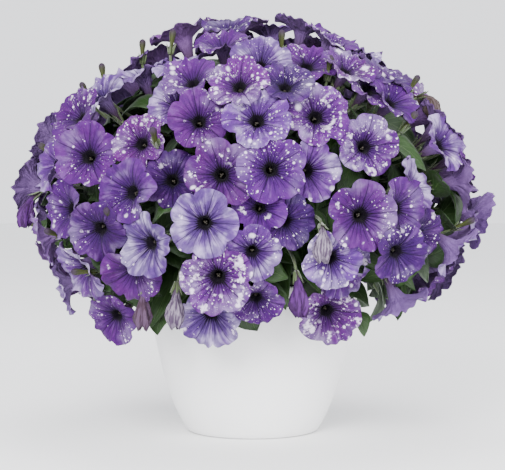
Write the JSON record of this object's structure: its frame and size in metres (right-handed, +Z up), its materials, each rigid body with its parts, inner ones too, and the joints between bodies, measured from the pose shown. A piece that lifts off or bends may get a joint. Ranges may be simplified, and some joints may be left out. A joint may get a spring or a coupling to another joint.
{
  "type": "potted petunia",
  "caption": "Petunia plant in full bloom in a plain white bowl pot: a dome of funnel shaped flowers over leafy stems, standing on its own base.",
  "frame": {"origin": "middle of the pot's flat base, on the surface it stands on", "axes": "+Z up; the pictured front faces -Y; +X to the viewer's right"},
  "size_m": [0.4727, 0.4408, 0.4107],
  "materials": {
    "pot": "satin",
    "soil": "matte",
    "foliage": "matte",
    "petal_violet": "matte",
    "petal_deep": "matte",
    "petal_lilac": "matte",
    "petal_pale": "matte",
    "petal_speckled": "matte"
  },
  "bodies": {
    "root": {"pot": "pot", "soil": "soil", "crown": "foliage", "trailing_stem_1": "foliage", "trailing_stem_2": "foliage", "trailing_stem_3": "foliage", "trailing_stem_4": "foliage", "trailing_stem_5": "foliage", "blooms_01": "petal_lilac", "blooms_02": "petal_violet", "blooms_03": "petal_pale", "blooms_04": "petal_pale", "blooms_05": "petal_lilac", "blooms_06": "petal_violet", "blooms_07": "petal_speckled", "blooms_08": "petal_violet", "blooms_09": "petal_lilac", "blooms_10": "petal_pale", "blooms_11": "petal_lilac", "blooms_12": "petal_lilac", "blooms_13": "petal_violet", "blooms_14": "petal_violet", "blooms_15": "petal_deep", "blooms_16": "petal_speckled", "blooms_17": "petal_deep", "blooms_18": "petal_violet", "blooms_19": "petal_pale", "blooms_20": "petal_lilac", "blooms_21": "petal_deep", "blooms_22": "petal_speckled", "blooms_23": "petal_violet", "blooms_24": "petal_deep", "blooms_25": "petal_speckled", "blooms_26": "petal_pale", "blooms_27": "petal_deep", "blooms_28": "petal_pale", "blooms_29": "petal_violet", "blooms_30": "petal_pale", "blooms_31": "petal_violet", "blooms_32": "petal_violet", "blooms_33": "petal_violet", "blooms_34": "petal_violet", "blooms_35": "petal_speckled", "blooms_36": "petal_deep", "blooms_37": "petal_speckled", "blooms_38": "petal_lilac", "blooms_39": "petal_pale", "blooms_40": "petal_lilac", "blooms_41": "petal_speckled", "blooms_42": "petal_violet", "blooms_43": "petal_lilac", "blooms_44": "petal_lilac", "blooms_45": "petal_speckled", "blooms_46": "petal_speckled", "blooms_47": "petal_deep", "blooms_48": "petal_lilac"}
  },
  "joints": []
}
